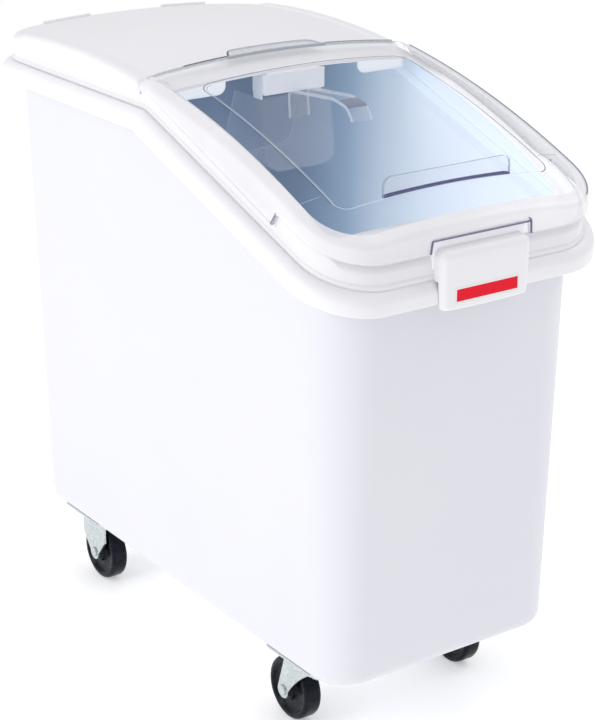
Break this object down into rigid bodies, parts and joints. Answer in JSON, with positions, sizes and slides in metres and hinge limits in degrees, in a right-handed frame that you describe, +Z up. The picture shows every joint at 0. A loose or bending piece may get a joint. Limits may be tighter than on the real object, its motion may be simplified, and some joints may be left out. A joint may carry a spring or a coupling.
{
  "type": "rolling ingredient bin",
  "caption": "Tall tapered plastic bin on casters for dry ingredients, with a white lid base, a clear cover that slides back over its roof, and a scoop inside.",
  "frame": {"origin": "middle of the bounding box, on the floor under the wheels", "axes": "+X to the bin's right seen from behind it, -Y to the front with the clip plate, +Z up"},
  "size_m": [0.396, 0.7437, 0.7356],
  "materials": {
    "tub_plastic": "satin moulded",
    "lid_plastic": "satin moulded",
    "clear_plastic": "clear, polished",
    "label": "printed film",
    "zinc_steel": "zinc plated",
    "bush_steel": "turned",
    "ball_steel": "polished",
    "wheel_plastic": "glossy"
  },
  "bodies": {
    "tub": {"tub": "tub_plastic", "caster_bolts": "zinc_steel", "caster_washers": "zinc_steel", "caster_nuts": "zinc_steel", "rigid_fork_left": "zinc_steel", "rigid_axle_left": "zinc_steel", "rigid_axle_nut_left": "zinc_steel", "rigid_bush_left": "bush_steel", "rigid_fork_right": "zinc_steel", "rigid_axle_right": "zinc_steel", "rigid_axle_nut_right": "zinc_steel", "rigid_bush_right": "bush_steel", "swivel_plate_left": "zinc_steel", "swivel_balls_left": "ball_steel", "swivel_pin_left": "zinc_steel", "swivel_pin_nut_left": "zinc_steel", "swivel_plate_right": "zinc_steel", "swivel_balls_right": "ball_steel", "swivel_pin_right": "zinc_steel", "swivel_pin_nut_right": "zinc_steel"},
    "lid": {"lid_base": "lid_plastic", "contents_label": "label", "scoop_hook": "lid_plastic"},
    "cover": {"clear_cover": "clear_plastic"},
    "scoop": {"scoop": "clear_plastic"},
    "swivel_left": {"swivel_fork_left": "zinc_steel", "swivel_axle_left": "zinc_steel", "swivel_axle_nut_left": "zinc_steel", "swivel_bush_left": "bush_steel"},
    "front_wheel_left": {"swivel_wheel_left": "wheel_plastic"},
    "rear_wheel_left": {"rigid_wheel_left": "wheel_plastic"},
    "swivel_right": {"swivel_fork_right": "zinc_steel", "swivel_axle_right": "zinc_steel", "swivel_axle_nut_right": "zinc_steel", "swivel_bush_right": "bush_steel"},
    "front_wheel_right": {"swivel_wheel_right": "wheel_plastic"},
    "rear_wheel_right": {"rigid_wheel_right": "wheel_plastic"}
  },
  "joints": [
    {"name": "lid_lift", "type": "slide", "parent": "tub", "child": "lid", "axis": [0, 0, 1], "range_m": [0, 0.35]},
    {"name": "cover_slide", "type": "hinge", "parent": "lid", "child": "cover", "pos_m": [0, 0.17325, -0.288], "axis": [-1, 0, 0], "range_deg": [0, 18.2]},
    {"name": "scoop_pull", "type": "slide", "parent": "lid", "child": "scoop", "axis": [0, -0.92, -0.392], "range_m": [0, 0.08]},
    {"name": "swivel_left_turn", "type": "hinge", "parent": "tub", "child": "swivel_left", "pos_m": [-0.118, -0.23075, 0.09], "axis": [0, 0, 1], "continuous": true},
    {"name": "front_wheel_left_spin", "type": "hinge", "parent": "swivel_left", "child": "front_wheel_left", "pos_m": [-0.118, -0.19775, 0.038], "axis": [1, 0, 0], "continuous": true},
    {"name": "rear_wheel_left_spin", "type": "hinge", "parent": "tub", "child": "rear_wheel_left", "pos_m": [-0.118, 0.23925, 0.038], "axis": [1, 0, 0], "continuous": true},
    {"name": "swivel_right_turn", "type": "hinge", "parent": "tub", "child": "swivel_right", "pos_m": [0.118, -0.23075, 0.09], "axis": [0, 0, 1], "continuous": true},
    {"name": "front_wheel_right_spin", "type": "hinge", "parent": "swivel_right", "child": "front_wheel_right", "pos_m": [0.118, -0.19775, 0.038], "axis": [1, 0, 0], "continuous": true},
    {"name": "rear_wheel_right_spin", "type": "hinge", "parent": "tub", "child": "rear_wheel_right", "pos_m": [0.118, 0.23925, 0.038], "axis": [1, 0, 0], "continuous": true}
  ]
}
